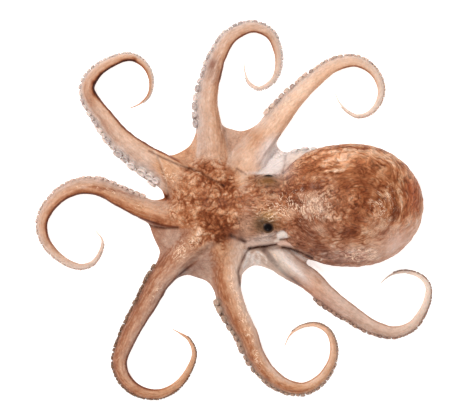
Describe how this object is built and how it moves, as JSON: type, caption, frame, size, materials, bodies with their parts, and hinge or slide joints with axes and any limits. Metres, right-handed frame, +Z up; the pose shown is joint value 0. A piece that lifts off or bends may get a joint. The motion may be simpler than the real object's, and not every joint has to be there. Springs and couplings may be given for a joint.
{
  "type": "whole raw octopus",
  "caption": "Whole raw octopus laid flat with its back up: egg-shaped mantle, head with eyes, webbed crown and long curled arms with suckers.",
  "frame": {"origin": "on the surface that it lies on, under the middle of the spread of the arms and mantle", "axes": "+X from the crown towards the tail end of the mantle, +Y towards the animal's right side, +Z up through its back"},
  "size_m": [0.3561, 0.341, 0.062],
  "materials": {
    "skin": "wet"
  },
  "bodies": {
    "root": {"octopus": "skin"}
  },
  "joints": []
}
